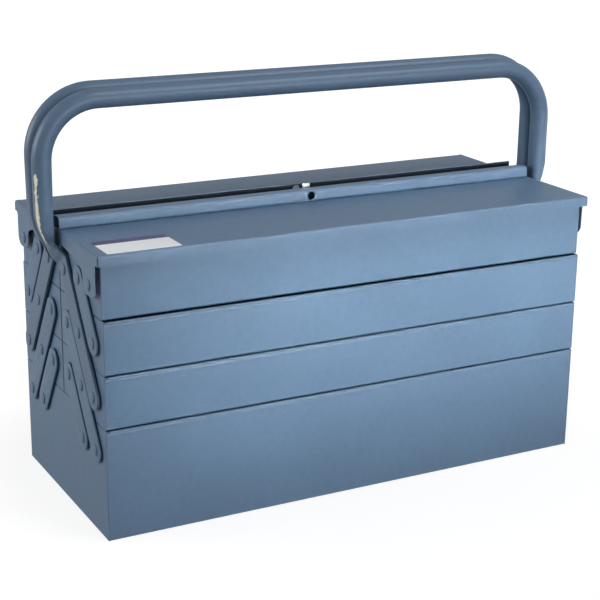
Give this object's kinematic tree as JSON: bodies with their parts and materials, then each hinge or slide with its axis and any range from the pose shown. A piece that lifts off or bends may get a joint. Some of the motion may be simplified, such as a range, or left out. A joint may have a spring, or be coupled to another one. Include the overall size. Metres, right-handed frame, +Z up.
{
  "type": "cantilever tool box",
  "caption": "Steel tool box whose trays swing out to both sides on link arms under hinged lids, with twin tube handles that close together.",
  "frame": {"origin": "centre of the base's underside, in the middle between the two halves", "axes": "+X along the box, -Y towards the front half, +Z up"},
  "size_m": [0.583, 0.236, 0.4115],
  "materials": {
    "enamel": "semi-gloss blue-grey enamel",
    "zinc": "zinc plated",
    "label": "matte white sticker"
  },
  "bodies": {
    "base": {"base_pan": "enamel", "base_end_plates": "enamel", "base_rivets": "enamel", "base_washers": "zinc"},
    "front_lower": {"front_lower_tray": "enamel", "front_lower_ends": "enamel", "front_lower_rivets": "enamel", "front_lower_washers": "zinc"},
    "front_middle": {"front_middle_tray": "enamel", "front_middle_ends": "enamel", "front_middle_rivets": "enamel", "front_middle_washers": "zinc"},
    "front_upper": {"front_upper_tray": "enamel", "front_upper_ends": "enamel", "front_upper_rivets": "enamel", "front_upper_washers": "zinc"},
    "front_lid": {"front_lid": "enamel", "front_lid_band": "enamel", "front_lid_ends": "enamel", "latch_plate": "zinc", "paper_label": "label"},
    "front_handle": {"front_handle": "enamel"},
    "front_base_arms": {"front_base_arm_left": "enamel", "front_base_arm_right": "enamel"},
    "front_long_arms": {"front_long_arm_left": "enamel", "front_long_arm_right": "enamel"},
    "front_top_arms": {"front_top_arm_left": "enamel", "front_top_arm_right": "enamel"},
    "rear_lower": {"rear_lower_tray": "enamel", "rear_lower_ends": "enamel", "rear_lower_rivets": "enamel", "rear_lower_washers": "zinc"},
    "rear_middle": {"rear_middle_tray": "enamel", "rear_middle_ends": "enamel", "rear_middle_rivets": "enamel", "rear_middle_washers": "zinc"},
    "rear_upper": {"rear_upper_tray": "enamel", "rear_upper_ends": "enamel", "rear_upper_rivets": "enamel", "rear_upper_washers": "zinc"},
    "rear_lid": {"rear_lid": "enamel", "rear_lid_band": "enamel", "rear_lid_ends": "enamel"},
    "rear_handle": {"rear_handle": "enamel"},
    "rear_base_arms": {"rear_base_arm_left": "enamel", "rear_base_arm_right": "enamel"},
    "rear_long_arms": {"rear_long_arm_left": "enamel", "rear_long_arm_right": "enamel"},
    "rear_top_arms": {"rear_top_arm_left": "enamel", "rear_top_arm_right": "enamel"}
  },
  "joints": [
    {"name": "front_open", "type": "hinge", "parent": "base", "child": "front_long_arms", "pos_m": [0, -0.092, 0.0845], "axis": [1, 0, 0], "range_deg": [0, 66]},
    {"name": "front_base_arm_turn", "type": "hinge", "parent": "base", "child": "front_base_arms", "pos_m": [0, -0.0575, 0.0845], "axis": [1, 0, 0], "range_deg": [0, 66]},
    {"name": "front_lower_tray_level", "type": "hinge", "parent": "front_long_arms", "child": "front_lower", "pos_m": [0, -0.0575, 0.137], "axis": [1, 0, 0], "range_deg": [-66, 0]},
    {"name": "front_middle_tray_level", "type": "hinge", "parent": "front_long_arms", "child": "front_middle", "pos_m": [0, -0.023, 0.1895], "axis": [1, 0, 0], "range_deg": [-66, 0]},
    {"name": "front_handle_turn", "type": "hinge", "parent": "front_lower", "child": "front_handle", "pos_m": [0, -0.092, 0.137], "axis": [1, 0, 0], "range_deg": [0, 66]},
    {"name": "front_upper_tray_level", "type": "hinge", "parent": "front_handle", "child": "front_upper", "pos_m": [0, -0.023, 0.242], "axis": [1, 0, 0], "range_deg": [-66, 0]},
    {"name": "front_top_arm_turn", "type": "hinge", "parent": "front_middle", "child": "front_top_arms", "pos_m": [0, -0.092, 0.1895], "axis": [1, 0, 0], "range_deg": [0, 66]},
    {"name": "front_lid_open", "type": "hinge", "parent": "front_upper", "child": "front_lid", "pos_m": [0, -0.092, 0.245], "axis": [1, 0, 0], "range_deg": [0, 85]},
    {"name": "rear_open", "type": "hinge", "parent": "base", "child": "rear_long_arms", "pos_m": [0, 0.092, 0.0845], "axis": [-1, 0, 0], "range_deg": [0, 66]},
    {"name": "rear_base_arm_turn", "type": "hinge", "parent": "base", "child": "rear_base_arms", "pos_m": [0, 0.0575, 0.0845], "axis": [-1, 0, 0], "range_deg": [0, 66]},
    {"name": "rear_lower_tray_level", "type": "hinge", "parent": "rear_long_arms", "child": "rear_lower", "pos_m": [0, 0.0575, 0.137], "axis": [-1, 0, 0], "range_deg": [-66, 0]},
    {"name": "rear_middle_tray_level", "type": "hinge", "parent": "rear_long_arms", "child": "rear_middle", "pos_m": [0, 0.023, 0.1895], "axis": [-1, 0, 0], "range_deg": [-66, 0]},
    {"name": "rear_handle_turn", "type": "hinge", "parent": "rear_lower", "child": "rear_handle", "pos_m": [0, 0.092, 0.137], "axis": [-1, 0, 0], "range_deg": [0, 66]},
    {"name": "rear_upper_tray_level", "type": "hinge", "parent": "rear_handle", "child": "rear_upper", "pos_m": [0, 0.023, 0.242], "axis": [-1, 0, 0], "range_deg": [-66, 0]},
    {"name": "rear_top_arm_turn", "type": "hinge", "parent": "rear_middle", "child": "rear_top_arms", "pos_m": [0, 0.092, 0.1895], "axis": [-1, 0, 0], "range_deg": [0, 66]},
    {"name": "rear_lid_open", "type": "hinge", "parent": "rear_upper", "child": "rear_lid", "pos_m": [0, 0.092, 0.245], "axis": [-1, 0, 0], "range_deg": [0, 85]}
  ],
  "couplings": [
    {"joint": "front_base_arm_turn", "follows": "front_open", "ratio": 1},
    {"joint": "front_lower_tray_level", "follows": "front_open", "ratio": -1},
    {"joint": "front_middle_tray_level", "follows": "front_open", "ratio": -1},
    {"joint": "front_handle_turn", "follows": "front_open", "ratio": 1},
    {"joint": "front_upper_tray_level", "follows": "front_open", "ratio": -1},
    {"joint": "front_top_arm_turn", "follows": "front_open", "ratio": 1},
    {"joint": "rear_base_arm_turn", "follows": "rear_open", "ratio": 1},
    {"joint": "rear_lower_tray_level", "follows": "rear_open", "ratio": -1},
    {"joint": "rear_middle_tray_level", "follows": "rear_open", "ratio": -1},
    {"joint": "rear_handle_turn", "follows": "rear_open", "ratio": 1},
    {"joint": "rear_upper_tray_level", "follows": "rear_open", "ratio": -1},
    {"joint": "rear_top_arm_turn", "follows": "rear_open", "ratio": 1}
  ]
}
